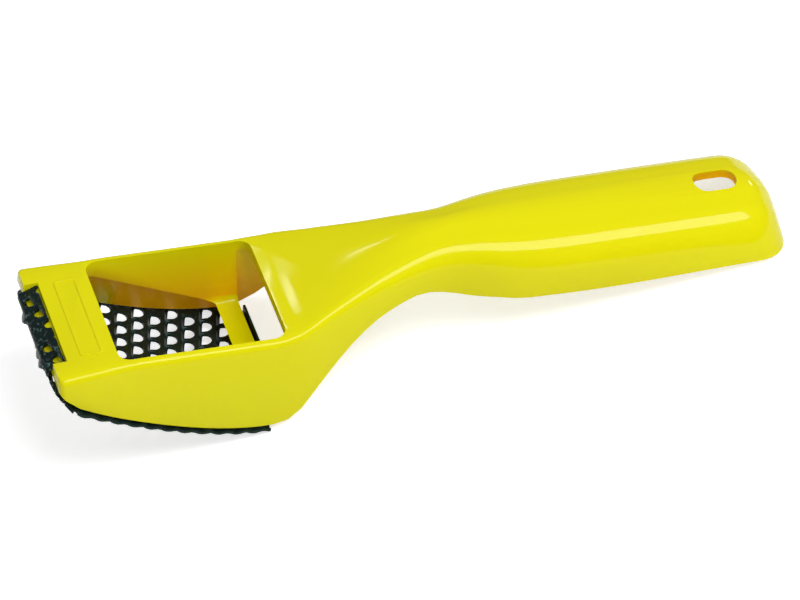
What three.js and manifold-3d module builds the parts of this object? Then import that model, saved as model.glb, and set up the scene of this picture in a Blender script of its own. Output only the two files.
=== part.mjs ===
// Rasp plane: a small pull shaver. One moulded plastic body makes the open head and the hollow
// handle, and one curved steel blade, cut from perforated toothed sheet, covers the belly.
// The blade hooks over the nose with a short tongue and snaps behind a crossbar with a rear lip.
// Millimetres. The body is drawn with its head's top level, +X from the nose towards the end of
// the handle and +Z up, and the whole tool is then tilted to lie on its belly and its handle end.
import * as THREE from "three";
import { mergeVertices } from "three/addons/utils/BufferGeometryUtils.js";
import Module from "manifold-3d";

const wasm = await Module();
wasm.setup();

// Sizes of the body along the tool
const bodyLength = 182;
const windowFront = 15.4;
const windowRear = 56;
const barFront = 48.3;
const barRear = 54.6;
const noseSlopeLength = 20;
const heelPlace = 51;
const deckStart = 52;
const deckEnd = 108;
const waistStart = 54;
const neckPlace = 98;
const archPlace = 91;
const gripStart = 126;
const gripRimStart = 116;

// Heights of the body, from the level of the head's top
const noseDrop = 1.2;
const noseFaceDepth = 4.8;
const chinDepth = 8.2;
const chinLength = 3;
const headDepth = 22.2;
const bellyControlPlace = 32.8;
const neckRise = 12.7;
const gripEndRise = 13;
const archRise = 1.3;
const neckRimDepth = 1;
const gripRimDepth = 0.8;
const gripEndRimRise = 1.9;
const gripCrown = 1.2;

// Widths of the body, at its shoulders and at its open rim
const headTopWidth = 40.6;
const noseFlare = 1.4;
const noseRimTaper = 1.3;
const headRimWidth = 47.2;
const neckTopWidth = 19.4;
const neckRimWidth = 21.8;
const gripTopWidth = 29.4;
const gripEndTopWidth = 26;
const gripRimWidth = 31.6;
const gripEndRimWidth = 35.2;

// Roundings of the body
const headShoulder = 2;
const neckShoulder = 6;
const gripShoulder = 9;
const noseCorner = 1.4;
const gripEndCorner = 11.5;
const gripEndRimCorner = 8;
const gripEndShoulder = 10.5;
const roomShare = 0.9;

// Walls, window, crossbar and hanging hole of the body
const wall = 2.3;
const noseWall = 3;
const windowHalfWidth = 18.4;
const windowCorner = 3;
const windowDraft = 0.5;
const barTopDepth = 17.7;
const barFillet = 2;
const barUndercut = 2.2;
const shutOffDepth = 3.4;
const ribTopDepth = 4.5;
const ribSetback = 1.4;
const hangPlace = 166.8;
const hangLength = 10.6;
const hangWidth = 7.2;
const hangCorner = 3.1;

// Sizes of the blade
const sheet = 0.6;
const seatGap = 0.3;
const bladeHalfWidth = 24.3;
const flareHalfWidth = 16;
const bladeFullEnd = 51.2;
const tongueHalfWidth = 14.3;
const tongueRear = 3.1;
const tongueRearDepth = 2;
const foldPlace = -1.2;
const foldDepth = 4;
const foldBend = 0.9;
const frontControlPlace = 0.22;
const frontControlDepth = 7.22;
const lipGap = 1;
const lipHeight = 2.3;
const lipBend = 0.8;
const tabHalfWidth = 18.3;
const earLength = 1.2;
const earWidth = 2.6;
const toothPitch = 4.35;
const toothSpacing = 4.92;
const toothSkewShare = 0.27;
const toothPhaseShare = 0.04;
const toothRise = 1.1;
const holeLength = 2.6;
const holeWidth = 3.6;

// Recess of the tongue in the body's nose
const recessMargin = 0.4;

// How finely the skins are divided
const stationStep = 3.4;
const cornerSteps = 4;
const shoulderSteps = 5;
const crownSteps = 3;
const pathSteps = 400;
const bendSteps = 2;
const settleRounds = 8;
const nearShare = 0.001;
const overrun = 6;

const yellow = new THREE.MeshStandardMaterial({ color: 0xe3dc0c, roughness: 0.24, metalness: 0 });
const black = new THREE.MeshStandardMaterial({ color: 0x1b2420, roughness: 0.42, metalness: 0.85 });

// Manifold solid of a geometry, whose vertices are merged by place first.
function solidOf(geometry) {
  const plain = new THREE.BufferGeometry();
  plain.setAttribute("position", geometry.getAttribute("position").clone());
  if (geometry.index) plain.setIndex(geometry.index.clone());
  const merged = mergeVertices(plain);
  return new wasm.Manifold(new wasm.Mesh({
    numProp: 3,
    vertProperties: merged.attributes.position.array,
    triVerts: new Uint32Array(merged.index.array),
  }));
}

// Geometry of a manifold solid.
function geometryOf(solid) {
  const mesh = solid.getMesh();
  const geometry = new THREE.BufferGeometry();
  geometry.setAttribute("position", new THREE.BufferAttribute(new Float32Array(mesh.vertProperties), mesh.numProp));
  geometry.setIndex(new THREE.BufferAttribute(mesh.triVerts, 1));
  geometry.computeVertexNormals();
  return geometry;
}

// Closed skin through rings of equally many points, with a flat fan over each end.
function loft(rings) {
  const count = rings[0].length;
  const points = rings.flat();
  const faces = [];
  for (let ring = 0; ring + 1 < rings.length; ring++) {
    for (let i = 0; i < count; i++) {
      const a = ring * count + i;
      const b = ring * count + ((i + 1) % count);
      faces.push(a, b, b + count, a, b + count, a + count);
    }
  }
  for (const [ring, side] of [[0, 1], [rings.length - 1, -1]]) {
    const middle = new THREE.Vector3();
    for (const point of rings[ring]) middle.addScaledVector(point, 1 / count);
    points.push(middle);
    for (let i = 0; i < count; i++) {
      const a = ring * count + i;
      const b = ring * count + ((i + 1) % count);
      faces.push(points.length - 1, side > 0 ? b : a, side > 0 ? a : b);
    }
  }
  const geometry = new THREE.BufferGeometry().setFromPoints(points);
  geometry.setIndex(faces);
  return geometry;
}

// Outline in the side plane, drawn as [x, z] points, made solid across the tool.
function sideSlab(outline, halfWidth) {
  const shape = new THREE.Shape(outline.map(([x, z]) => new THREE.Vector2(x, z)));
  const geometry = new THREE.ExtrudeGeometry(shape, { depth: 2 * halfWidth, bevelEnabled: false });
  geometry.translate(0, 0, -halfWidth);
  geometry.rotateX(Math.PI / 2);
  return solidOf(geometry);
}

// Smooth line through hand-placed [x, value] points, without overshoot between them.
function fairLine(places) {
  const slopes = places.map((_, i) => {
    if (i === 0 || i === places.length - 1) return 0;
    const [before, at, after] = [places[i - 1], places[i], places[i + 1]];
    const left = (at[1] - before[1]) / (at[0] - before[0]);
    const right = (after[1] - at[1]) / (after[0] - at[0]);
    return left * right <= 0 ? 0 : (2 * left * right) / (left + right);
  });
  return (x) => {
    if (x <= places[0][0]) return places[0][1];
    const last = places.length - 1;
    if (x >= places[last][0]) return places[last][1];
    let i = 0;
    while (x > places[i + 1][0]) i++;
    const span = places[i + 1][0] - places[i][0];
    const t = (x - places[i][0]) / span;
    const ease = t * t * (3 - 2 * t);
    return places[i][1] * (1 - ease) + places[i + 1][1] * ease
      + span * t * (1 - t) * ((1 - t) * slopes[i] - t * slopes[i + 1]);
  };
}

// Fair line between two places, from shares of its length and of its change in value.
function sharedLine(start, startValue, end, endValue, shares) {
  return shares.map(([along, change]) => [
    start + along * (end - start),
    startValue + change * (endValue - startValue),
  ]);
}

// Top line: the nose's flat top slopes down to the front, the head's rails are level, and the
// deck behind the window climbs in a hollow and then a swell to the neck and the handle.
const deckShares = [[0, 0], [0.11, 0.055], [0.21, 0.2], [0.54, 0.65], [0.75, 0.885], [1, 1]];
const deckLine = fairLine([
  ...sharedLine(deckStart, 0, deckEnd, neckRise, deckShares),
  [bodyLength, gripEndRise],
]);
const topLine = (x) => (x < noseSlopeLength ? -noseDrop * (1 - x / noseSlopeLength) : deckLine(x));

// Rim line of the belly, one easy curve from the chin to the heel.
const bellyCurve = new THREE.QuadraticBezierCurve(
  new THREE.Vector2(chinLength, -chinDepth),
  new THREE.Vector2(bellyControlPlace, -headDepth),
  new THREE.Vector2(heelPlace, -headDepth),
);

// Height of the belly curve at a place along the tool.
function bellyLine(x) {
  const [from, by, to] = [bellyCurve.v0, bellyCurve.v1, bellyCurve.v2];
  const a = from.x - 2 * by.x + to.x;
  const b = 2 * (by.x - from.x);
  const t = (-b + Math.sqrt(b * b - 4 * a * (from.x - x))) / (2 * a);
  return bellyCurve.getPoint(THREE.MathUtils.clamp(t, 0, 1)).y;
}

// Rim line: the chin's slope, the belly, the rounded heel, the arch under the neck, the handle.
const heelShares = [
  [0, 0], [0.1, 0.03], [0.17, 0.09], [0.24, 0.22],
  [0.45, 0.555], [0.6, 0.755], [0.8, 0.92], [1, 1],
];
const rearRimLine = fairLine([
  ...sharedLine(heelPlace, -headDepth, archPlace, archRise, heelShares),
  [(archPlace + gripRimStart) / 2, -neckRimDepth],
  [gripStart, -gripRimDepth],
  [bodyLength, gripEndRimRise],
]);
function rimLine(x) {
  if (x < chinLength) return -noseFaceDepth - (chinDepth - noseFaceDepth) * (x / chinLength);
  return x < heelPlace ? bellyLine(x) : rearRimLine(x);
}

// Half widths at the shoulder and at the rim: parallel head, waist at the neck, parallel handle.
const waistShares = [[0, 0], [0.09, 0.04], [0.36, 0.43], [0.64, 0.79], [0.91, 0.985], [1, 1]];
const halfLine = (head, neck, start, grip, gripEnd) => fairLine([
  ...sharedLine(waistStart, head / 2, neckPlace, neck / 2, waistShares),
  [(neckPlace + start) / 2, (neck + grip) / 4],
  [start, grip / 2],
  [bodyLength, gripEnd / 2],
]);
const shoulderHalfLine = halfLine(headTopWidth, neckTopWidth, gripStart, gripTopWidth, gripEndTopWidth);
const rimHalfLine = halfLine(headRimWidth, neckRimWidth, gripRimStart, gripRimWidth, gripEndRimWidth);
const shoulderLine = fairLine([
  [waistStart, headShoulder],
  [neckPlace, neckShoulder],
  [gripStart, gripShoulder],
]);
const crownLine = fairLine([[waistStart, 0], [neckPlace, gripCrown]]);

// How far a rounded corner of a radius has drawn in, at a distance from the face that it ends in.
function cornerInset(radius, distance) {
  if (distance >= radius) return 0;
  return radius - Math.sqrt(radius * radius - (radius - distance) * (radius - distance));
}

// Cross-section of the body at a place. A skin is its own inset: nothing outside, a wall inside.
function sectionAt(x, inset, noseInset, drop) {
  const fromEnd = Math.max(bodyLength - inset - x, 0);
  const fromNose = Math.max(x - noseInset, 0);
  const noseIn = inset + cornerInset(noseCorner, fromNose);
  const topIn = noseIn + cornerInset(gripEndCorner - inset, fromEnd);
  const rimIn = noseIn + cornerInset(gripEndRimCorner - inset, fromEnd);
  const noseShare = Math.max(1 - x / windowFront, 0);
  const shoulderHalf = shoulderHalfLine(x) + noseFlare * noseShare - topIn;
  const outerRimHalf = rimHalfLine(x) - noseRimTaper * noseShare * noseShare - rimIn;
  const rim = rimLine(x) - drop;
  const top = topLine(x) - inset - cornerInset(gripEndShoulder - inset, fromEnd);
  const lean = (outerRimHalf - shoulderHalf) / (top + inset - rimLine(x));
  const rimHalf = shoulderHalf + lean * (top + inset - rim);
  const tilt = Math.atan(lean);
  const room = roomShare * Math.min(shoulderHalf, top - rim);
  const radius = Math.min(Math.max(shoulderLine(x) - inset, headShoulder / 2), room);
  const centreY = shoulderHalf + lean * (inset + radius) - radius / Math.cos(tilt);
  const centreZ = top - radius;
  const half = [[rimHalf, rim]];
  for (let i = 0; i <= shoulderSteps; i++) {
    const angle = tilt + ((Math.PI / 2 - tilt) * i) / shoulderSteps;
    half.push([centreY + radius * Math.cos(angle), centreZ + radius * Math.sin(angle)]);
  }
  for (let i = 1; i <= crownSteps; i++) {
    const share = 1 - i / crownSteps;
    half.push([centreY * share, top + crownLine(x) * (1 - share * share)]);
  }
  const other = half.slice(0, -1).reverse().map(([y, z]) => [-y, z]);
  return [...half, ...other].map(([y, z]) => new THREE.Vector3(x, y, z));
}

// Places of the sections from start to end, closer together where a corner rounds off.
function stationsBetween(start, end, startRadius, endRadius) {
  const places = [];
  for (let i = 0; i < cornerSteps; i++) {
    places.push(start + startRadius * (1 - Math.cos((Math.PI / 2) * (i / cornerSteps))));
  }
  const from = start + startRadius;
  const to = end - endRadius;
  const steps = Math.round((to - from) / stationStep);
  for (let i = 0; i <= steps; i++) places.push(from + ((to - from) * i) / steps);
  const endSteps = 2 * cornerSteps;
  for (let i = 1; i <= endSteps; i++) {
    places.push(end - endRadius * (1 - Math.sin((Math.PI / 2) * (i / endSteps))));
  }
  return places;
}

// The body's outer skin and the hollow inside it, which is open all along the underside.
const outerPlaces = stationsBetween(0, bodyLength, noseCorner, gripEndCorner);
const outer = solidOf(loft(outerPlaces.map((x) => sectionAt(x, 0, 0, 0))));
const hollowPlaces = stationsBetween(noseWall, bodyLength - wall, noseCorner, gripEndCorner - wall);
const hollow = solidOf(loft(hollowPlaces.map((x) => sectionAt(x, wall, noseWall, overrun))));

// Thick lining of the head above its shut-off line, which runs down from the window's front edge
// to the crossbar and then back under it. Its rear edge is the rib on each side of the gap behind
// the crossbar.
const lining = sideSlab([
  [windowFront, 0],
  [barRear - ribSetback, 0],
  [barRear - ribSetback, -ribTopDepth],
  [barRear, -headDepth - overrun],
  [barFront + barUndercut, -headDepth - overrun],
  [barFront + barUndercut, -headDepth],
  [barFront, -barTopDepth + seatGap],
  [windowFront, -shutOffDepth],
], headRimWidth / 2);

// Window: a drafted well with rounded corners, whose floor over the crossbar rises in a fillet
// to the lining on each side.
function windowRing(z, halfWidth) {
  const points = [];
  const quarters = [[1, 1], [-1, 1], [-1, -1], [1, -1]];
  quarters.forEach(([rearward, leftward], quarter) => {
    const centreX = (rearward > 0 ? windowRear : windowFront) - rearward * windowCorner;
    const centreY = leftward * (halfWidth - windowCorner);
    for (let i = 0; i <= cornerSteps; i++) {
      const angle = (Math.PI / 2) * (quarter + i / cornerSteps);
      const [x, y] = [centreX + windowCorner * Math.cos(angle), centreY + windowCorner * Math.sin(angle)];
      points.push(new THREE.Vector3(x, y, z));
    }
  });
  return points;
}
const wellFloorHalf = windowHalfWidth - windowDraft;
const wellRings = [windowRing(-barTopDepth, wellFloorHalf - barFillet)];
for (let i = 1; i <= cornerSteps; i++) {
  const angle = (Math.PI / 2) * (i / cornerSteps);
  const half = wellFloorHalf - barFillet * (1 - Math.sin(angle));
  wellRings.push(windowRing(-barTopDepth + barFillet * (1 - Math.cos(angle)), half));
}
wellRings.push(windowRing(0, windowHalfWidth), windowRing(overrun, windowHalfWidth));
const well = solidOf(loft(wellRings));

// The blade's tongue lies in this recess, whose floor follows it down over the nose.
const tongueSlope = (foldDepth - tongueRearDepth) / (tongueRear - foldPlace);
const recessRear = tongueRear + seatGap;
const tongueSeat = (x) => -tongueRearDepth - seatGap * Math.hypot(1, tongueSlope) - (tongueRear - x) * tongueSlope;
const recess = sideSlab([
  [-overrun, tongueSeat(-overrun)],
  [recessRear, tongueSeat(recessRear)],
  [recessRear, overrun],
  [-overrun, overrun],
], tongueHalfWidth + recessMargin);

// Hanging hole with rounded ends, straight down through the top of the handle.
function roundedRectangle(length, width, corner) {
  const [x, y] = [length / 2 - corner, width / 2 - corner];
  const shape = new THREE.Shape();
  shape.absarc(x, y, corner, 0, Math.PI / 2);
  shape.absarc(-x, y, corner, Math.PI / 2, Math.PI);
  shape.absarc(-x, -y, corner, Math.PI, Math.PI * 1.5);
  shape.absarc(x, -y, corner, Math.PI * 1.5, Math.PI * 2);
  return shape;
}
const hangGeometry = new THREE.ExtrudeGeometry(
  roundedRectangle(hangLength, hangWidth, hangCorner),
  { depth: gripEndRise + overrun, bevelEnabled: false, curveSegments: cornerSteps },
);
hangGeometry.translate(hangPlace, 0, 0);
const hangHole = solidOf(hangGeometry);

const bodySolid = outer
  .subtract(hollow.subtract(lining))
  .subtract(well)
  .subtract(recess)
  .subtract(hangHole);

// Side path of the blade's upper surface: tongue, fold over the nose, front, belly, rear lip.
const bladePath = new THREE.Path();
const startNormal = new THREE.Vector2(chinDepth - headDepth, chinLength - bellyControlPlace).normalize();
const bellyStart = bellyCurve.v0.clone().addScaledVector(startNormal, seatGap);
const bellyEnd = new THREE.Vector2(heelPlace, -headDepth - seatGap);
const bellyControl = bellyCurve.v1.clone()
  .addScaledVector(startNormal.clone().add(new THREE.Vector2(0, -1)), seatGap / (1 - startNormal.y));
const lipPlace = barRear + lipGap;
const lipTop = lipHeight - headDepth - seatGap;
bladePath.moveTo(tongueRear, -tongueRearDepth);
bladePath.lineTo(foldPlace + foldBend, -foldDepth + foldBend * tongueSlope);
const frontLength = Math.hypot(frontControlPlace - foldPlace, frontControlDepth - foldDepth);
bladePath.quadraticCurveTo(
  foldPlace,
  -foldDepth,
  foldPlace + (foldBend / frontLength) * (frontControlPlace - foldPlace),
  -foldDepth - (foldBend / frontLength) * (frontControlDepth - foldDepth),
);
bladePath.quadraticCurveTo(frontControlPlace, -frontControlDepth, bellyStart.x, bellyStart.y);
bladePath.quadraticCurveTo(bellyControl.x, bellyControl.y, bellyEnd.x, bellyEnd.y);
bladePath.lineTo(lipPlace - lipBend, bellyEnd.y);
bladePath.quadraticCurveTo(lipPlace, bellyEnd.y, lipPlace, bellyEnd.y + lipBend);
bladePath.lineTo(lipPlace, lipTop);
bladePath.arcLengthDivisions = pathSteps;
const pathLength = bladePath.getLength();

// Length of the tongue from its rear edge to the fold.
const tongueLength = Math.hypot(tongueRear - foldPlace, foldDepth - tongueRearDepth);

// Distance along the path, past the fold, at which the blade reaches a place along the tool.
function alongAt(place) {
  let step = Math.ceil((pathSteps * tongueLength) / pathLength);
  while (bladePath.getPoint(step / pathSteps).x < place) step++;
  return (step / pathSteps) * pathLength;
}
const frontEnd = alongAt(bellyStart.x);
const fullEnd = alongAt(bladeFullEnd);

// Flat blank of the blade: x along the path from the ears at the tongue's rear, y across.
const halfBlank = [
  [earLength, 0],
  [earLength, tongueHalfWidth - earWidth],
  [0, tongueHalfWidth - earWidth / 2],
  [0, tongueHalfWidth],
  [tongueLength + foldBend, tongueHalfWidth],
  [THREE.MathUtils.lerp(tongueLength + foldBend, frontEnd, 1 / 2), flareHalfWidth],
  [frontEnd, bladeHalfWidth],
  [fullEnd, bladeHalfWidth],
  [fullEnd, tabHalfWidth],
  [pathLength, tabHalfWidth],
];
const blankShape = new THREE.Shape([
  ...halfBlank.map(([x, y]) => new THREE.Vector2(x, y)),
  ...halfBlank.slice(1).reverse().map(([x, y]) => new THREE.Vector2(x, -y)),
]);
const blankGeometry = new THREE.ExtrudeGeometry(blankShape, { depth: 2 * overrun, bevelEnabled: false });
blankGeometry.translate(0, 0, -overrun);
const blank = solidOf(blankGeometry);

// Lattice of the perforated sheet in half steps. Neighbouring columns of cells are half a
// spacing apart, and the whole lattice is skewed across the blade.
const skewReach = bladeHalfWidth * toothSkewShare;
const columns = Math.ceil((pathLength + 2 * skewReach) / toothPitch) + 1;
const rows = 2 * Math.ceil(bladeHalfWidth / toothSpacing + 1 / 2);
const cellRim = [[2, 1], [2, 2], [1, 2], [0, 2], [0, 1], [0, 0], [1, 0], [2, 0]];

// Perforated sheet, still flat, its face towards the body at level zero. Each cell is a small
// plate, and the nose side of its hole stands out from the far face as a tooth.
function perforatedSheet() {
  const points = [];
  const faces = [];
  const lattice = new Map();
  const openEdges = new Map();
  const add = (x, y, z) => points.push(new THREE.Vector3(x + y * toothSkewShare, y, z)) - 1;
  const quad = (a, b, c, d) => faces.push(a, b, c, a, c, d);
  const xAt = (column) => (column * toothPitch) / 2 - skewReach - toothPitch * toothPhaseShare;
  const yAt = (row) => ((row - rows) * toothSpacing) / 2;
  const latticeAt = (column, row) => {
    const key = column + "," + row;
    if (!lattice.has(key)) {
      const [x, y] = [xAt(column), yAt(row)];
      lattice.set(key, [add(x, y, 0), add(x, y, -sheet)]);
    }
    return lattice.get(key);
  };
  for (let column = 0; column < columns; column++) {
    for (let row = column % 2; row + 2 <= 2 * rows; row += 2) {
      const rim = cellRim.map(([right, up]) => latticeAt(2 * column + right, row + up));
      const [middleX, middleY] = [xAt(2 * column + 1), yAt(row + 1)];
      const place = middleX + middleY * toothSkewShare;
      const isHoled = place < pathLength - lipHeight - holeLength;
      const hole = cellRim.map((_, i) => {
        const angle = (2 * Math.PI * i) / cellRim.length;
        const lift = toothRise * Math.sqrt(Math.max(-Math.cos(angle), 0));
        const x = middleX + (holeLength / 2) * Math.cos(angle);
        const y = middleY + (holeWidth / 2) * Math.sin(angle);
        return [add(x, y, isHoled ? -lift : 0), add(x, y, isHoled ? -lift - sheet : -sheet)];
      });
      for (let i = 0; i < rim.length; i++) {
        const j = (i + 1) % rim.length;
        quad(rim[i][0], rim[j][0], hole[j][0], hole[i][0]);
        quad(rim[j][1], rim[i][1], hole[i][1], hole[j][1]);
        if (isHoled) quad(hole[i][0], hole[j][0], hole[j][1], hole[i][1]);
        const reverse = rim[j][0] + "," + rim[i][0];
        if (openEdges.has(reverse)) openEdges.delete(reverse);
        else openEdges.set(rim[i][0] + "," + rim[j][0], [rim[i], rim[j]]);
      }
      for (let i = 1; !isHoled && i + 1 < hole.length; i++) {
        faces.push(hole[0][0], hole[i][0], hole[i + 1][0]);
        faces.push(hole[0][1], hole[i + 1][1], hole[i][1]);
      }
    }
  }
  for (const [from, to] of openEdges.values()) quad(to[0], from[0], from[1], to[1]);
  const geometry = new THREE.BufferGeometry().setFromPoints(points);
  geometry.setIndex(faces);
  return geometry;
}

// Mesh with its faces split at a place along the sheet, so that it can bend there.
function splitAt(points, faces, place) {
  const made = new Map();
  const sides = points.map((point) => {
    const past = point.x - place;
    return Math.abs(past) < sheet * nearShare ? 0 : Math.sign(past);
  });
  const between = (a, b) => {
    const key = Math.min(a, b) + "," + Math.max(a, b);
    if (!made.has(key)) {
      const share = (place - points[a].x) / (points[b].x - points[a].x);
      made.set(key, points.push(points[a].clone().lerp(points[b], share)) - 1);
    }
    return made.get(key);
  };
  const split = [];
  for (let i = 0; i < faces.length; i += 3) {
    const face = faces.slice(i, i + 3);
    if (!face.some((v) => sides[v] > 0) || !face.some((v) => sides[v] < 0)) {
      split.push(...face);
      continue;
    }
    const loop = [];
    for (let k = 0; k < 3; k++) {
      const [a, b] = [face[k], face[(k + 1) % 3]];
      loop.push(a);
      if (sides[a] * sides[b] < 0) loop.push(between(a, b));
    }
    for (const side of [1, -1]) {
      const part = loop.filter((v) => (sides[v] ?? 0) * side >= 0);
      for (let k = 1; k + 1 < part.length; k++) split.push(part[0], part[k], part[k + 1]);
    }
  }
  return split;
}

// The trimmed sheet is split where its path bends, and then each vertex moves onto the path.
function bentBlade() {
  const mesh = solidOf(perforatedSheet()).intersect(blank).getMesh();
  const points = [];
  for (let i = 0; i < mesh.numVert; i++) {
    points.push(new THREE.Vector3().fromArray(mesh.vertProperties, i * mesh.numProp));
  }
  let faces = [...mesh.triVerts];
  const lipStart = pathLength - (lipTop + headDepth + seatGap);
  for (let i = 0; i <= bendSteps; i++) {
    const share = i / bendSteps;
    faces = splitAt(points, faces, tongueLength - foldBend + 2 * foldBend * share);
    faces = splitAt(points, faces, lipStart - lipBend + 2 * lipBend * share);
    faces = splitAt(points, faces, THREE.MathUtils.lerp(tongueLength + foldBend, frontEnd, share));
  }
  const bent = points.map(({ x, y, z }) => {
    const share = THREE.MathUtils.clamp(x / pathLength, 0, 1);
    const at = bladePath.getPoint(share);
    const way = bladePath.getTangent(share);
    return new THREE.Vector3(at.x - z * way.y, y, at.y + z * way.x);
  });
  const geometry = new THREE.BufferGeometry().setFromPoints(bent);
  geometry.setIndex(faces);
  return solidOf(geometry);
}
const bladeSolid = bentBlade();

// Named pieces, in the frame of the head's top.
const tool = new THREE.Group();
for (const [name, solid, material] of [["body", bodySolid, yellow], ["blade", bladeSolid, black]]) {
  const mesh = new THREE.Mesh(geometryOf(solid), material);
  mesh.name = name;
  tool.add(mesh);
}

// The tool lies on the belly's teeth and on the end of its handle. The tilt is the slope of the
// line under both, found from the lowest vertex in front of the neck and the lowest behind it.
function lowestPoint(isWanted, tilt) {
  const point = new THREE.Vector3();
  let lowest = null;
  for (const { geometry } of tool.children) {
    const places = geometry.getAttribute("position");
    for (let i = 0; i < places.count; i++) {
      point.fromBufferAttribute(places, i);
      if (!isWanted(point.x)) continue;
      const level = point.z * Math.cos(tilt) - point.x * Math.sin(tilt);
      if (!lowest || level < lowest.level) lowest = { level, x: point.x, z: point.z };
    }
  }
  return lowest;
}
let restTilt = 0;
for (let round = 0; round < settleRounds; round++) {
  const front = lowestPoint((x) => x < neckPlace, restTilt);
  const rear = lowestPoint((x) => x > neckPlace, restTilt);
  restTilt = Math.atan2(rear.z - front.z, rear.x - front.x);
}
tool.rotation.y = restTilt;
tool.updateMatrixWorld(true);
const box = new THREE.Box3().setFromObject(tool, true);
const middle = box.getCenter(new THREE.Vector3());
tool.position.set(-middle.x, -middle.y, -box.min.z);

const rasp = new THREE.Group();
rasp.name = "rasp_plane";
rasp.add(tool);

export default rasp;
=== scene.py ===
# Rasp plane: a pocket pull shaver of one glossy yellow moulding and one black perforated blade.
import math
import bpy
from mathutils import Matrix, Vector


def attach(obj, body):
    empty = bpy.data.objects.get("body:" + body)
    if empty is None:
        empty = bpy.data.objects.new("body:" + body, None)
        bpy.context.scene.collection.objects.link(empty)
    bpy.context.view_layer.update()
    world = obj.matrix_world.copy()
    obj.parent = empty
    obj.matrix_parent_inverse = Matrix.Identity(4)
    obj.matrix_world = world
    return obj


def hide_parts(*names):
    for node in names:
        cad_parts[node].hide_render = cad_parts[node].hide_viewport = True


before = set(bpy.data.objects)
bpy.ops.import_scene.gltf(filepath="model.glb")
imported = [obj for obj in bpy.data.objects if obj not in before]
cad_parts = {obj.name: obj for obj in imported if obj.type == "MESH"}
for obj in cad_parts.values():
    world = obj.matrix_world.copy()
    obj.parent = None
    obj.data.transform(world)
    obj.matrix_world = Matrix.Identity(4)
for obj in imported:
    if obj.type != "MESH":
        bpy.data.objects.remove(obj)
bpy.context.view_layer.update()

# Body
# One injection moulding in glossy lemon yellow plastic: open head with its window and crossbar,
# deck, neck, and a handle that is hollow from below. The skin is the solid's own, with its flat
# facets joined, its sharp edges broken as a mould breaks them, and its curves shaded smooth.
join_distance = 2e-6
flat_angle = math.radians(0.4)
edge_break = 0.00035
smooth_angle = math.radians(32)

bpy.ops.object.select_all(action="DESELECT")
body = bpy.data.objects.new("moulded_body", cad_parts["body"].data.copy())
bpy.context.collection.objects.link(body)
body.select_set(True)
bpy.context.view_layer.objects.active = body
bpy.ops.object.mode_set(mode="EDIT")
bpy.ops.mesh.select_all(action="SELECT")
bpy.ops.mesh.remove_doubles(threshold=join_distance)
bpy.ops.mesh.dissolve_limited(angle_limit=flat_angle)
bpy.ops.object.mode_set(mode="OBJECT")
rounding = body.modifiers.new("edge_break", "BEVEL")
rounding.width = edge_break
rounding.segments = 3
rounding.limit_method = "ANGLE"
rounding.angle_limit = smooth_angle
rounding.use_clamp_overlap = True
bpy.ops.object.modifier_apply(modifier="edge_break")
bpy.ops.object.shade_smooth_by_angle(angle=smooth_angle)

# The tool's own frame: its head is level in it, and the whole tool lies tilted on the floor.
rest_tilt = math.radians(11.25983)
head_origin = Vector((-0.08798941, 0.0, 0.03367364))
to_rest = Matrix.Translation(head_origin) @ Matrix.Rotation(rest_tilt, 4, "Y")

# Painted shade and painted glow: inside the head and in the hanging hole the yellow is turned
# darker orange and given a faint warm glow, the more the deeper a point lies between the walls,
# so how deep it lies is kept with it. Each place is given by its two ends along the tool, its
# half width and how much that grows with depth, its top, the depth at which its painted shade is
# full, and its strength there. Past 1, only its painted glow and its dullness still grow. The
# rims, which face up, keep the plain colour, and so does the crossbar, which is lit from above.
# The hollow behind the window's own side walls is fully shaded from just below its top.
painted_shade_places = (
    (0.0148, 0.060, 0.0189, 0.149, 0.0, 0.010, 1.0),
    (0.1612, 0.1724, 0.0038, 0.0, 0.0140, 0.0012, 2.6),
)
window_half = 0.0187
hollow_top = 0.003
rim_slope = 0.3
bar_front, bar_rear, bar_level = 0.0478, 0.0552, -0.0163
from_rest = to_rest.inverted()
turn_from_rest = from_rest.to_3x3()


def held_share(value):
    """A share that stays between 0 and 1."""
    return min(max(value, 0.0), 1.0)


# Each point keeps the strength of its painted shade and painted glow.
depth = body.data.attributes.new("painted_shade_depth", "FLOAT", "POINT")
for vertex in body.data.vertices:
    x, y, z = from_rest @ vertex.co
    is_rim = (turn_from_rest @ vertex.normal).z > rim_slope
    for front, rear, half_width, growth, top, full_depth, painted_strength in painted_shade_places:
        down = top - z
        if front < x < rear and abs(y) < half_width + growth * down and not is_rim:
            is_hollow = abs(y) > window_half and down > hollow_top
            is_bar = bar_front < x < bar_rear and z < bar_level and not is_hollow
            share = 1.0 if is_hollow else held_share(down / full_depth)
            depth.data[vertex.index].value = 0.0 if is_bar else painted_strength * share

# What the hand leaves on a finish: soft clouds of colour and fine scuffs, as two masks.
marks = bpy.data.node_groups.new("handling_marks", "ShaderNodeTree")
marks.interface.new_socket("Vector", in_out="INPUT", socket_type="NodeSocketVector")
marks.interface.new_socket("Cloud Scale", in_out="INPUT", socket_type="NodeSocketFloat")
marks.interface.new_socket("Scuff Scale", in_out="INPUT", socket_type="NodeSocketFloat")
marks.interface.new_socket("Clouds", in_out="OUTPUT", socket_type="NodeSocketFloat")
marks.interface.new_socket("Scuffs", in_out="OUTPUT", socket_type="NodeSocketFloat")
enter = marks.nodes.new("NodeGroupInput")
leave = marks.nodes.new("NodeGroupOutput")
clouds = marks.nodes.new("ShaderNodeTexNoise")
clouds.inputs["Detail"].default_value = 3.0
scuffs = marks.nodes.new("ShaderNodeTexNoise")
scuffs.inputs["Detail"].default_value = 6.0
scuffs.inputs["Roughness"].default_value = 0.7
worn = marks.nodes.new("ShaderNodeMapRange")
worn.inputs["From Min"].default_value = 0.56
worn.inputs["From Max"].default_value = 0.72
marks.links.new(enter.outputs["Vector"], clouds.inputs["Vector"])
marks.links.new(enter.outputs["Cloud Scale"], clouds.inputs["Scale"])
marks.links.new(enter.outputs["Vector"], scuffs.inputs["Vector"])
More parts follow.
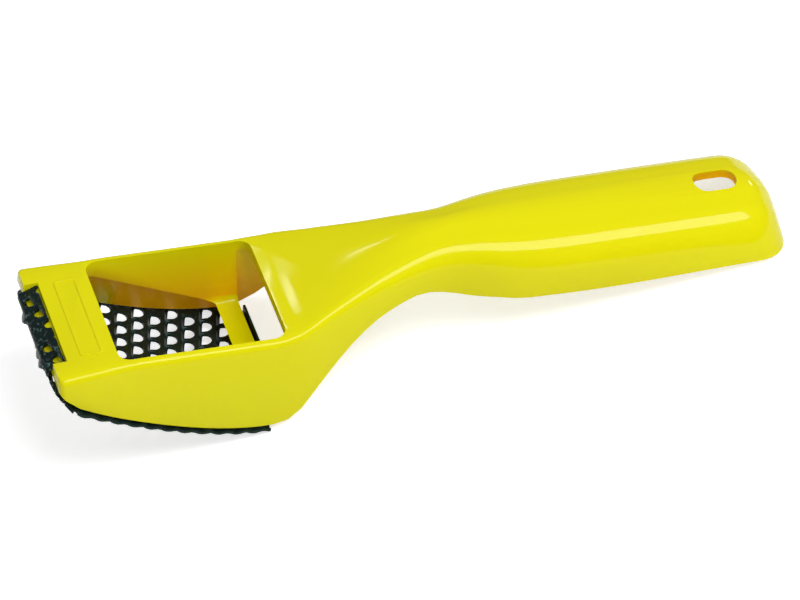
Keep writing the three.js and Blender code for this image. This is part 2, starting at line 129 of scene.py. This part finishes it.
marks.links.new(enter.outputs["Scuff Scale"], scuffs.inputs["Scale"])
marks.links.new(scuffs.outputs["Fac"], worn.inputs["Value"])
marks.links.new(clouds.outputs["Fac"], leave.inputs["Clouds"])
marks.links.new(worn.outputs["Result"], leave.inputs["Scuffs"])

# Glossy yellow: the colour drifts a little from lemon to a warmer yellow, painted shade turns it
# orange and a painted glow lights it where the walls are deep, the gloss is dulled here and there
# by the hand, and faint flow ripples and sink marks bend the reflections.
yellow = bpy.data.materials.new("glossy_yellow_plastic")
yellow.use_nodes = True
nodes, links = yellow.node_tree.nodes, yellow.node_tree.links
shader = nodes["Principled BSDF"]
shader.inputs["Specular IOR Level"].default_value = 0.22
# The emission carries only the painted glow of the deep places.
shader.inputs["Emission Strength"].default_value = 1.0
place = nodes.new("ShaderNodeTexCoord")
handled = nodes.new("ShaderNodeGroup")
handled.node_tree = marks
handled.inputs["Cloud Scale"].default_value = 26.0
handled.inputs["Scuff Scale"].default_value = 420.0
tint = nodes.new("ShaderNodeMix")
tint.data_type = "RGBA"
tint.inputs["A"].default_value = (0.88, 0.85, 0.0012, 1.0)
tint.inputs["B"].default_value = (0.88, 0.79, 0.0010, 1.0)
# Painted shade: deep between the walls the yellow is mixed towards a darker orange.
inside = nodes.new("ShaderNodeAttribute")
inside.attribute_name = "painted_shade_depth"
painted_shade_tint = nodes.new("ShaderNodeMix")
painted_shade_tint.data_type = "RGBA"
painted_shade_tint.inputs["B"].default_value = (0.88, 0.50, 0.002, 1.0)
# Painted glow: deep between the walls, and most in the hanging hole, a faint warm light is added.
painted_glow = nodes.new("ShaderNodeVectorMath")
painted_glow.operation = "SCALE"
painted_glow.inputs[0].default_value = (0.11, 0.045, 0.0)
gloss = nodes.new("ShaderNodeMapRange")
gloss.inputs["To Min"].default_value = 0.08
gloss.inputs["To Max"].default_value = 0.18
matt = nodes.new("ShaderNodeMath")
matt.operation = "MULTIPLY"
matt.inputs[1].default_value = 0.25
dulled = nodes.new("ShaderNodeMath")
dulled.operation = "ADD"
flow = nodes.new("ShaderNodeTexNoise")
flow.inputs["Scale"].default_value = 60.0
flow.inputs["Detail"].default_value = 1.0
ripple = nodes.new("ShaderNodeBump")
ripple.inputs["Strength"].default_value = 0.12
ripple.inputs["Distance"].default_value = 0.0006
links.new(place.outputs["Object"], handled.inputs["Vector"])
links.new(place.outputs["Object"], flow.inputs["Vector"])
links.new(handled.outputs["Clouds"], tint.inputs["Factor"])
links.new(tint.outputs["Result"], painted_shade_tint.inputs["A"])
links.new(inside.outputs["Fac"], painted_shade_tint.inputs["Factor"])
links.new(painted_shade_tint.outputs["Result"], shader.inputs["Base Color"])
links.new(inside.outputs["Fac"], painted_glow.inputs["Scale"])
links.new(painted_glow.outputs["Vector"], shader.inputs["Emission Color"])
links.new(handled.outputs["Scuffs"], gloss.inputs["Value"])
links.new(gloss.outputs["Result"], dulled.inputs[0])
links.new(inside.outputs["Fac"], matt.inputs[0])
links.new(matt.outputs["Value"], dulled.inputs[1])
links.new(dulled.outputs["Value"], shader.inputs["Roughness"])
links.new(flow.outputs["Fac"], ripple.inputs["Height"])
links.new(ripple.outputs["Normal"], shader.inputs["Normal"])
body.data.materials.clear()
body.data.materials.append(yellow)
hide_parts("body")
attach(body, "handle_body")

# Nose frame
# The low raised border on top of the nose, moulded with the body: a rounded rectangle with an
# open, bare middle, laid along the slope of the nose and a hair into its skin.
frame_front, frame_rear, frame_half = 0.00683, 0.01243, 0.0141
frame_corner = 0.0009
ridge_width = 0.0007
ridge_height = 0.0002
ridge_root = 0.00005
ridge_rounding = 0.00018
nose_level, nose_slope = -0.001204, 0.0606
curve_angle = math.radians(40)

bpy.ops.object.select_all(action="DESELECT")
bpy.ops.mesh.primitive_plane_add(size=1.0)
border = bpy.context.object
border.name = "nose_frame"
bpy.ops.object.mode_set(mode="EDIT")
bpy.ops.mesh.select_all(action="SELECT")
bpy.ops.transform.resize(value=(frame_rear - frame_front, 2 * frame_half, 1.0))
bpy.ops.mesh.bevel(offset=frame_corner, segments=4, affect="VERTICES")
bpy.ops.mesh.select_all(action="SELECT")
bpy.ops.mesh.inset(thickness=ridge_width)
bpy.ops.mesh.delete(type="FACE")
bpy.ops.mesh.select_all(action="SELECT")
bpy.ops.mesh.extrude_region_move(
    TRANSFORM_OT_translate={"value": (0.0, 0.0, ridge_height + ridge_root)}
)
bpy.ops.mesh.select_all(action="SELECT")
bpy.ops.mesh.normals_make_consistent(inside=False)
bpy.ops.object.mode_set(mode="OBJECT")
softened = border.modifiers.new("softened", "BEVEL")
softened.width = ridge_rounding
softened.segments = 3
softened.limit_method = "ANGLE"
bpy.ops.object.modifier_apply(modifier="softened")
for vertex in border.data.vertices:
    x = vertex.co.x + (frame_front + frame_rear) / 2
    z = nose_level + nose_slope * x + vertex.co.z - ridge_root
    vertex.co = to_rest @ Vector((x, vertex.co.y, z))
bpy.ops.object.shade_smooth_by_angle(angle=curve_angle)
border.data.materials.clear()
border.data.materials.append(yellow)
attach(border, "handle_body")

# Blade
# Hardened steel sheet, blackened, with skewed rows of punched holes. The nose side of each hole
# is pushed out as a rounded scoop with a sharp edge. The flat sheet is trimmed to its outline,
# bent over the nose and along the belly, and its lip is turned up behind the crossbar.

# The sheet and its punching: the columns go across it, and skew is how far they lean.
sheet = 0.0006
pitch = 0.00435
spacing = 0.00492
skew = 0.27
first_column = 0.00003
columns_before = 2
last_hole_pitches = 0.7
unpunched_margin = 0.0026
edge_wave = 0.00055
tooth_rise = 0.00106
hole_half_length = 0.0012
hole_half_width = 0.00195
hole_horn = 0.00025
hole_roundness = 0.7
around = 16
quarter = around // 4
ring_shares = (0.0, 0.34, 0.7, 1.0)
lift_shares = (1.0, 0.8, 0.38, 0.0)
cell_join = 1e-6
cut_tolerance = 1e-7

# On the tongue the teeth are lower, the holes smaller, and the rows a little late.
tongue_margin = 0.001
tongue_rise_share = 0.6
tongue_hole_share = 0.78
tongue_lag = 0.00085

# The flat sheet's half widths, with the places of the flare as shares of the front's length.
blade_half = 0.0243
flare_start_half, flare_start_share = 0.0192, 0.3
flare_half, flare_share = 0.0214, 0.65
tongue_half = 0.0143
tab_half = 0.0183
ear_length = 0.0002
ear_width = 0.0026

# The bends, as places along and above the tool in its own frame, and the gap to the head.
seat_gap = 0.0003
heel = (0.051, -0.0222)
full_end_place = 0.0512
tongue_rear = (0.00332, -0.0018977)
fold = (-0.0012, -0.004)
fold_bend = 0.0009
front_control = (0.00022, -0.00722)
chin = (0.003, -0.0082)
belly_control = (0.0328, -0.0222)
lip_place = 0.0556
lip_bend = 0.0008
lip_height = 0.0023
bend_steps = 24
bend_parts = 6
path_inset = 1e-9

# The side path of the sheet's inner face, from the tongue's rear edge to the top of the lip.
down_front = (Vector(front_control) - Vector(fold)).normalized()
fold_slope = (tongue_rear[1] - fold[1]) / (tongue_rear[0] - fold[0])
before_fold = Vector((fold[0] + fold_bend, fold[1] + fold_bend * fold_slope))
after_fold = Vector(fold) + down_front * fold_bend
outward = Vector((chin[1] - belly_control[1], chin[0] - belly_control[0])).normalized()
outward = Vector((-abs(outward.x), -abs(outward.y)))
belly_start = Vector(chin) + seat_gap * outward
belly_shift = seat_gap / (1.0 - outward.y)
belly_turn = Vector(belly_control) + (outward + Vector((0.0, -1.0))) * belly_shift
belly_end = Vector((heel[0], heel[1] - seat_gap))
lip_foot = Vector((lip_place, belly_end.y))
stretches = (
    (Vector(tongue_rear), before_fold),
    (before_fold, Vector(fold), after_fold),
    (after_fold, Vector(front_control), belly_start),
    (belly_start, belly_turn, belly_end),
    (belly_end, lip_foot - Vector((lip_bend, 0.0))),
    (lip_foot - Vector((lip_bend, 0.0)), lip_foot, lip_foot + Vector((0.0, lip_bend))),
    (lip_foot + Vector((0.0, lip_bend)), lip_foot + Vector((0.0, lip_height))),
)
path = [Vector(tongue_rear)]
for points in stretches:
    for step in range(1, bend_steps + 1):
        t = step / bend_steps
        if len(points) == 2:
            path.append(points[0].lerp(points[1], t))
        else:
            path.append(points[0].lerp(points[1], t).lerp(points[1].lerp(points[2], t), t))
reach = [0.0]
for before, after in zip(path, path[1:]):
    reach.append(reach[-1] + (after - before).length)
path_length = reach[-1]
tongue_length = reach[bend_steps] + fold_bend


def reach_at(place):
    """Distance along the path, past the fold, at which the blade comes to a place on the tool."""
    index = 2 * bend_steps
    while path[index].x < place:
        index += 1
    return reach[index]


front_end = reach_at(belly_start.x)
full_end = reach_at(full_end_place)
last_hole = path_length - lip_height - last_hole_pitches * pitch

# One cell of the sheet: rings from the hole's edge out to the cell's rectangle. Neighbouring
# columns lie half a spacing over, so each side of a rectangle has four equal parts. A hole is a
# D: its straight edge, towards the nose, arches out as the tooth, and its round edge stays flat.
bpy.ops.object.select_all(action="DESELECT")
bpy.ops.mesh.primitive_circle_add(vertices=around, radius=1.0, fill_type="NOTHING")
blade = bpy.context.object
blade.name = "perforated_blade"
bpy.ops.object.mode_set(mode="EDIT")
bpy.ops.mesh.select_all(action="SELECT")
for ring in range(1, len(ring_shares)):
    bpy.ops.mesh.extrude_edges_move()
    bpy.ops.transform.resize(value=((ring + 1.0) / ring, (ring + 1.0) / ring, 1.0))
bpy.ops.object.mode_set(mode="OBJECT")
for vertex in blade.data.vertices:
    ring = round(vertex.co.xy.length) - 1
    angle = math.atan2(vertex.co.y, vertex.co.x)
    turn = round(angle * around / math.tau)
    if abs(turn) <= quarter:
        bulge = max(math.cos(angle), 0.0) ** hole_roundness
        hole = Vector((hole_half_length * (2 * bulge - 1), hole_half_width * math.sin(angle)))
        hole.x -= hole_horn if abs(turn) == quarter else 0.0
        lift = 0.0
    else:
        side = (2 * quarter - abs(turn)) / quarter
        hole = Vector((-hole_half_length, hole_half_width * math.copysign(side, turn)))
        lift = tooth_rise * math.sqrt(1.0 - side * side)
    if abs(turn) <= quarter / 2:
        rim = Vector((pitch / 2, spacing * turn / quarter))
    elif abs(turn) <= 3 * quarter / 2:
        across = math.copysign(spacing / 2, turn)
        rim = Vector((pitch * (quarter - abs(turn)) / quarter, across))
    else:
        across = math.copysign(spacing * (2 * quarter - abs(turn)) / quarter, turn)
        rim = Vector((-pitch / 2, across))
    at = hole.lerp(rim, ring_shares[ring])
    vertex.co = (at.x, at.y, -lift * lift_shares[ring])

# Half the outline of the flat sheet, from the tongue's corner along its side to the lip's. Its
# front, between the fold and the belly, flares to the full width.
fold_end = tongue_length + fold_bend
front_face = front_end - tongue_length - fold_bend
half_outline = (
    (0.0, tongue_half),
    (fold_end, tongue_half),
    (fold_end + front_face * flare_start_share, flare_start_half),
    (fold_end + front_face * flare_share, flare_half),
    (front_end, blade_half),
    (full_end, blade_half),
    (full_end, tab_half),
    (path_length, tab_half),
)


def half_width_at(along):
    """Half width of the trimmed sheet at a distance along it."""
    for (x, y), (next_x, next_y) in zip(half_outline, half_outline[1:]):
        if x <= along < next_x:
            return y + (next_y - y) * (along - x) / (next_x - x)
    return tongue_half if along < tongue_length else tab_half


def front_share(along):
    """How far up the sheet's front a place along it is: 0 on the belly and 1 on the tongue."""
    return held_share((front_end - along) / (front_end - tongue_length))


# The cell is repeated over the sheet. Along the sheet's sides and past the last row the holes
# are left unpunched, and on the tongue the rows lag a little, as the fold takes up their length.
cell_points = len(blade.data.vertices)
rows = 2 * math.ceil(blade_half / spacing) + 1
pairs = math.ceil((path_length + blade_half * skew + columns_before * pitch) / (2 * pitch)) + 1
for name, offset, count in (
    ("next_column", (pitch, spacing / 2, 0.0), 2),
    ("rows", (0.0, spacing, 0.0), rows + 1),
    ("columns", (2 * pitch, 0.0, 0.0), pairs),
):
    array = blade.modifiers.new(name, "ARRAY")
    array.use_relative_offset = False
    array.use_constant_offset = True
    array.constant_offset_displace = offset
    array.count = count
    bpy.ops.object.modifier_apply(modifier=name)
start = Vector((first_column - columns_before * pitch, -(rows + 1) / 2 * spacing))
for vertex in blade.data.vertices:
    y = vertex.co.y + start.y
    x = vertex.co.x + start.x + skew * y
    vertex.co = (x + tongue_lag * front_share(x), y, vertex.co.z)
points = blade.data.vertices
is_plain = [False] * len(points)
for first in range(0, len(points), cell_points):
    middle = sum((points[first + i].co for i in range(around)), Vector()) / around
    margin = tongue_margin if middle.x < tongue_length else unpunched_margin
    narrowest = min(half_width_at(middle.x), half_width_at(middle.x - pitch / 2))
    share = tongue_rise_share if middle.x < tongue_length else 1.0
    is_on_fold = abs(middle.x - tongue_length) < fold_bend
    if middle.x >= last_hole or is_on_fold or abs(middle.y) > narrowest - margin:
        share = 0.0
    for i in range(cell_points):
        is_plain[first + i] = share == 0.0
        points[first + i].co.z *= share
        if middle.x < tongue_length and i < around:
            points[first + i].co.xy = middle.xy.lerp(points[first + i].co.xy, tongue_hole_share)

# The holes of the unpunched cells are closed, and all the cells become one sheet.
bpy.ops.object.mode_set(mode="EDIT")
bpy.ops.mesh.select_mode(type="EDGE")
bpy.ops.mesh.select_all(action="DESELECT")
bpy.ops.object.mode_set(mode="OBJECT")
for edge in blade.data.edges:
    edge.select = all(is_plain[end] and end % cell_points < around for end in edge.vertices)
bpy.ops.object.mode_set(mode="EDIT")
bpy.ops.mesh.edge_face_add()
bpy.ops.mesh.select_mode(type="FACE")
bpy.ops.mesh.poke()
bpy.ops.mesh.select_mode(type="VERT")
bpy.ops.mesh.select_all(action="SELECT")
bpy.ops.mesh.remove_doubles(threshold=cell_join)
bpy.ops.mesh.normals_make_consistent(inside=False)
bpy.ops.mesh.select_mode(type="FACE")


def cut_sheet(is_wanted, through, normal, drop=False):
    """Cut the wanted faces of the sheet along an upright plane, and drop what lies past it."""
    bpy.ops.object.mode_set(mode="OBJECT")
    for face in blade.data.polygons:
        face.select = is_wanted(face.center)
    bpy.ops.object.mode_set(mode="EDIT")
    point = (through[0], through[1], 0.0)
    facing = Vector((normal[0], normal[1], 0.0)).normalized()
    bpy.ops.mesh.bisect(
        plane_co=point, plane_no=facing, clear_outer=drop, threshold=cut_tolerance
    )


def cut_across(along, facing=1.0, drop=False):
    """Cut the whole sheet straight across at a distance along it."""
    cut_sheet(lambda at: True, (along, 0.0), (facing, 0.0), drop)


# Trimming: first across, where the sheet ends, bends or changes its width, then along its sides,
# and last the shallow notch between the ears of the tongue.
cut_across(0.0, facing=-1.0, drop=True)
cut_across(path_length, drop=True)
for step in range(bend_parts + 1):
    cut_across(tongue_length - fold_bend + 2 * fold_bend * step / bend_parts)
    cut_across(path_length - lip_height - lip_bend + 2 * lip_bend * step / bend_parts)
    cut_across(fold_end + front_face * step / bend_parts)
cut_across(full_end)
for (x, y), (next_x, next_y) in zip(half_outline, half_outline[1:]):
    for side in (-1, 1):
        if next_x > x:
            sideways = (y - next_y, side * (next_x - x))
            cut_sheet(lambda at: x < at.x < next_x, (x, side * y), sideways, drop=True)
ear_start = tongue_half - ear_width
for side in (1, -1):
    cut_sheet(lambda at: at.x < tongue_length, (0.0, side * ear_start), (0.0, 1.0))
cut_sheet(
    lambda at: at.x < tongue_length and abs(at.y) < ear_start,
    (ear_length, 0.0),
    (-1.0, 0.0),
    drop=True,
)

# What the cuts leave loose goes, and the sheet gets its thickness on its outer side.
bpy.ops.mesh.select_mode(type="VERT")
bpy.ops.mesh.select_all(action="SELECT")
bpy.ops.mesh.delete_loose(use_verts=True, use_edges=True, use_faces=False)
bpy.ops.mesh.select_all(action="SELECT")
bpy.ops.mesh.extrude_region_move(TRANSFORM_OT_translate={"value": (0.0, 0.0, -sheet)})
bpy.ops.mesh.select_all(action="SELECT")
bpy.ops.mesh.normals_make_consistent(inside=False)
bpy.ops.object.mode_set(mode="OBJECT")

# Pressing and bending: the unpunched sides get their low scallops, one to a row of teeth, and
# then each point moves from the flat sheet onto the path. How far a point stands out as a tooth
# is kept, because the black is worn off there, and so is how near it is to the nose, where the
# lighter scuffs are partly real wear and partly painted light.
wear = blade.data.attributes.new("tooth_wear", "FLOAT", "POINT")
# Near the nose the scuffs are lighter: partly real wear, partly painted light on the lit tongue.
nose_rub_and_light = blade.data.attributes.new("nose_scuff_and_light", "FLOAT", "POINT")
for vertex in blade.data.vertices:
    x, y, z = vertex.co
    rise = tooth_rise * (tongue_rise_share if x < tongue_length else 1.0)
    wear.data[vertex.index].value = held_share((-z - sheet) / rise)
    nose_rub_and_light.data[vertex.index].value = front_share(x)
    if x > front_end:
        near_side = held_share((abs(y) - blade_half + unpunched_margin) / (unpunched_margin / 2))
        turn = math.tau * ((x - skew * y - first_column + hole_half_length) / pitch)
        z -= edge_wave * near_side * math.sqrt(0.5 + 0.5 * math.cos(turn))
    along = min(max(x, 0.0), path_length - path_inset)
    index = next(i for i in range(1, len(reach)) if reach[i] > along)
    share = (along - reach[index - 1]) / (reach[index] - reach[index - 1])
    at = path[index - 1].lerp(path[index], share)
    way = (path[index] - path[index - 1]).normalized()
    vertex.co = to_rest @ Vector((at.x - z * way.y, y, at.y + z * way.x))
bpy.ops.object.shade_smooth_by_angle(angle=curve_angle)

# Blackened steel: a dark green-grey skin with a cloudy oil sheen, scuffed lighter, most of all
# over the nose, where the scuffs are partly real wear and partly a painted highlight on the lit
# tongue, while painted shade keeps the belly inside the head dark, and bright bare steel along
# the teeth where they are worn.
black = bpy.data.materials.new("blackened_steel")
black.use_nodes = True
nodes, links = black.node_tree.nodes, black.node_tree.links
shader = nodes["Principled BSDF"]
shader.inputs["Specular IOR Level"].default_value = 0.25
place = nodes.new("ShaderNodeTexCoord")
handled = nodes.new("ShaderNodeGroup")
handled.node_tree = marks
handled.inputs["Cloud Scale"].default_value = 90.0
handled.inputs["Scuff Scale"].default_value = 900.0
skin = nodes.new("ShaderNodeMix")
skin.data_type = "RGBA"
skin.inputs["A"].default_value = (0.004, 0.010, 0.009, 1.0)
skin.inputs["B"].default_value = (0.018, 0.046, 0.042, 1.0)
nose = nodes.new("ShaderNodeAttribute")
nose.attribute_name = "nose_scuff_and_light"
# Scuffs are partly real wear and partly painted light: strong on the lit tongue, and held down on
# the belly so that it stays dark as painted shade.
scuff_and_light_share = nodes.new("ShaderNodeMapRange")
scuff_and_light_share.inputs["To Min"].default_value = 0.2
scuff_and_light_share.inputs["To Max"].default_value = 2.4
scuff_and_light = nodes.new("ShaderNodeMath")
scuff_and_light.operation = "MULTIPLY"
scuffed_and_lit = nodes.new("ShaderNodeMix")
scuffed_and_lit.data_type = "RGBA"
scuffed_and_lit.inputs["B"].default_value = (0.15, 0.25, 0.24, 1.0)
tooth = nodes.new("ShaderNodeAttribute")
tooth.attribute_name = "tooth_wear"
edge_wear = nodes.new("ShaderNodeMapRange")
edge_wear.inputs["From Min"].default_value = 0.62
edge_wear.inputs["From Max"].default_value = 1.0
edge_wear.inputs["To Max"].default_value = 0.55
bare = nodes.new("ShaderNodeMix")
bare.data_type = "RGBA"
bare.inputs["B"].default_value = (0.15, 0.20, 0.185, 1.0)
metal = nodes.new("ShaderNodeMapRange")
metal.inputs["To Min"].default_value = 0.55
metal.inputs["To Max"].default_value = 0.95
sheen = nodes.new("ShaderNodeMapRange")
sheen.inputs["To Min"].default_value = 0.30
sheen.inputs["To Max"].default_value = 0.56
grain = nodes.new("ShaderNodeBump")
grain.inputs["Strength"].default_value = 0.5
grain.inputs["Distance"].default_value = 0.00015
links.new(place.outputs["Object"], handled.inputs["Vector"])
links.new(handled.outputs["Clouds"], skin.inputs["Factor"])
links.new(skin.outputs["Result"], scuffed_and_lit.inputs["A"])
links.new(nose.outputs["Fac"], scuff_and_light_share.inputs["Value"])
links.new(scuff_and_light_share.outputs["Result"], scuff_and_light.inputs[1])
links.new(handled.outputs["Scuffs"], scuff_and_light.inputs[0])
links.new(scuff_and_light.outputs["Value"], scuffed_and_lit.inputs["Factor"])
links.new(tooth.outputs["Fac"], edge_wear.inputs["Value"])
links.new(edge_wear.outputs["Result"], bare.inputs["Factor"])
links.new(scuffed_and_lit.outputs["Result"], bare.inputs["A"])
links.new(bare.outputs["Result"], shader.inputs["Base Color"])
links.new(edge_wear.outputs["Result"], metal.inputs["Value"])
links.new(metal.outputs["Result"], shader.inputs["Metallic"])
links.new(handled.outputs["Scuffs"], sheen.inputs["Value"])
links.new(sheen.outputs["Result"], shader.inputs["Roughness"])
links.new(handled.outputs["Scuffs"], grain.inputs["Height"])
links.new(grain.outputs["Normal"], shader.inputs["Normal"])
blade.data.materials.clear()
blade.data.materials.append(black)
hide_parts("blade")
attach(blade, "rasp_blade")

# Floor
# White paper that runs out of sight. It is lit like the object, so it keeps the object's shadow,
# and it glows: for the camera just enough to come out white, and in reflections less.
floor_reach = 6.0
floor_parts = 4
camera_glow = 0.66
mirror_glow = 0.28
bpy.ops.object.select_all(action="DESELECT")
bpy.ops.mesh.primitive_plane_add(size=floor_reach)
floor = bpy.context.object
floor.name = "white_floor"
bpy.ops.object.mode_set(mode="EDIT")
bpy.ops.mesh.subdivide(number_cuts=floor_parts - 1)
bpy.ops.object.mode_set(mode="OBJECT")
paper = bpy.data.materials.new("white_paper")
paper.use_nodes = True
nodes, links = paper.node_tree.nodes, paper.node_tree.links
shader = nodes["Principled BSDF"]
shader.inputs["Roughness"].default_value = 0.9
shader.inputs["Specular IOR Level"].default_value = 0.1
shader.inputs["Emission Color"].default_value = (1.0, 1.0, 1.0, 1.0)
place = nodes.new("ShaderNodeTexCoord")
fibres = nodes.new("ShaderNodeTexNoise")
fibres.inputs["Scale"].default_value = 900.0
pulp = nodes.new("ShaderNodeMix")
pulp.data_type = "RGBA"
pulp.inputs["A"].default_value = (0.80, 0.80, 0.80, 1.0)
pulp.inputs["B"].default_value = (0.83, 0.83, 0.83, 1.0)
ray = nodes.new("ShaderNodeLightPath")
reflected = nodes.new("ShaderNodeMath")
reflected.operation = "MAXIMUM"
glow = nodes.new("ShaderNodeMath")
glow.operation = "MULTIPLY_ADD"
glow.inputs[1].default_value = camera_glow
mirrored = nodes.new("ShaderNodeMath")
mirrored.operation = "MULTIPLY"
mirrored.inputs[1].default_value = mirror_glow
links.new(place.outputs["Object"], fibres.inputs["Vector"])
links.new(fibres.outputs["Fac"], pulp.inputs["Factor"])
links.new(pulp.outputs["Result"], shader.inputs["Base Color"])
links.new(ray.outputs["Is Glossy Ray"], reflected.inputs[0])
links.new(ray.outputs["Is Transmission Ray"], reflected.inputs[1])
links.new(reflected.outputs["Value"], mirrored.inputs[0])
links.new(ray.outputs["Is Camera Ray"], glow.inputs[0])
links.new(mirrored.outputs["Value"], glow.inputs[2])
links.new(glow.outputs["Value"], shader.inputs["Emission Strength"])
floor.data.materials.append(paper)

# Light
# A pale surround, brighter overhead and white to the camera. A long soft box over the near side
# shines as the bright line along the handle, a wide weak one lights the nose, a small one behind
# glints on the deck, and one past the handle's end glints on its rim.
level_strength, overhead_strength = 0.12, 0.38
world = bpy.data.worlds.new("pale_surround")
bpy.context.scene.world = world
world.use_nodes = True
world.node_tree.nodes["Background"].inputs["Color"].default_value = (1.0, 1.0, 1.0, 1.0)
nodes, links = world.node_tree.nodes, world.node_tree.links
direction = nodes.new("ShaderNodeTexCoord")
split = nodes.new("ShaderNodeSeparateXYZ")
overhead = nodes.new("ShaderNodeMapRange")
overhead.inputs["To Min"].default_value = level_strength
overhead.inputs["To Max"].default_value = overhead_strength
ray = nodes.new("ShaderNodeLightPath")
seen = nodes.new("ShaderNodeMath")
seen.operation = "MAXIMUM"
links.new(direction.outputs["Generated"], split.inputs["Vector"])
links.new(split.outputs["Z"], overhead.inputs["Value"])
links.new(overhead.outputs["Result"], seen.inputs[0])
links.new(ray.outputs["Is Camera Ray"], seen.inputs[1])
links.new(seen.outputs["Value"], nodes["Background"].inputs["Strength"])


def soft_lamp(name, place, target, size, radiance, turn=0.0):
    """A flat soft box of an even radiance, facing a point of the tool and turned on its face."""
    bpy.ops.object.light_add(type="AREA", location=place)
    lamp = bpy.context.object
    lamp.name = name
    lamp.data.shape = "RECTANGLE"
    lamp.data.size, lamp.data.size_y = size
    lamp.data.energy = radiance * math.pi * size[0] * size[1]
    facing = (Vector(place) - Vector(target)).normalized()
    along = (Vector((1.0, 0.0, 0.0)) - facing.x * facing).normalized()
    along = math.cos(turn) * along + math.sin(turn) * facing.cross(along)
    axes = Matrix((along, facing.cross(along), facing)).transposed()
    lamp.matrix_world = Matrix.Translation(place) @ axes.to_4x4()


head_rear = (-0.03, 0.0, 0.02)
handle_end = (0.086, 0.0, 0.012)
strip_turn = math.radians(22)
soft_lamp(
    "strip_lamp", (0.27, -0.28, 0.68), head_rear, size=(0.62, 0.34), radiance=6.1, turn=strip_turn
)
soft_lamp("front_lamp", (-0.5, -0.9, 0.6), head_rear, size=(0.7, 0.6), radiance=1.0)
soft_lamp("back_lamp", (-0.05, 0.619, 0.61), head_rear, size=(0.045, 0.016), radiance=14.0)
soft_lamp("end_lamp", (0.86, 0.60, 0.26), handle_end, size=(0.10, 0.10), radiance=8.0)

# Camera
# Long lens at the photograph's angle, found from the outline and the window of the head. It is
# placed in the tool's own frame, and the lens is measured in the photograph's pixels.
swing, height, roll = math.radians(-18.87), math.radians(39.40), math.radians(4.15)
aim = Vector((0.0905, 0.0, 0.0))
distance = 1.476
photo_width, photo_height = 800.0, 600.0
lens_across, lens_down = 407.09, 268.01
lens_length = 6180.0
film_width = 36.0
view_depth = 10.0
level = math.cos(height)
back = Vector((math.sin(swing) * level, -math.cos(swing) * level, math.sin(height)))
right = Vector((0.0, 0.0, 1.0)).cross(back).normalized()
up = back.cross(right)
turned_right = math.cos(roll) * right + math.sin(roll) * up
turned_up = math.cos(roll) * up - math.sin(roll) * right
bpy.ops.object.camera_add()
camera = bpy.context.object
camera.name = "photo_camera"
stance = Matrix((turned_right, turned_up, back)).transposed().to_4x4()
camera.matrix_world = to_rest @ Matrix.Translation(aim + distance * back) @ stance
camera.data.sensor_width = film_width
camera.data.lens = lens_length / photo_width * film_width
camera.data.shift_x = (photo_width / 2 - lens_across) / photo_width
camera.data.shift_y = (lens_down - photo_height / 2) / photo_width
camera.data.clip_end = view_depth
bpy.context.scene.camera = camera
bpy.context.scene.view_settings.view_transform = "Standard"
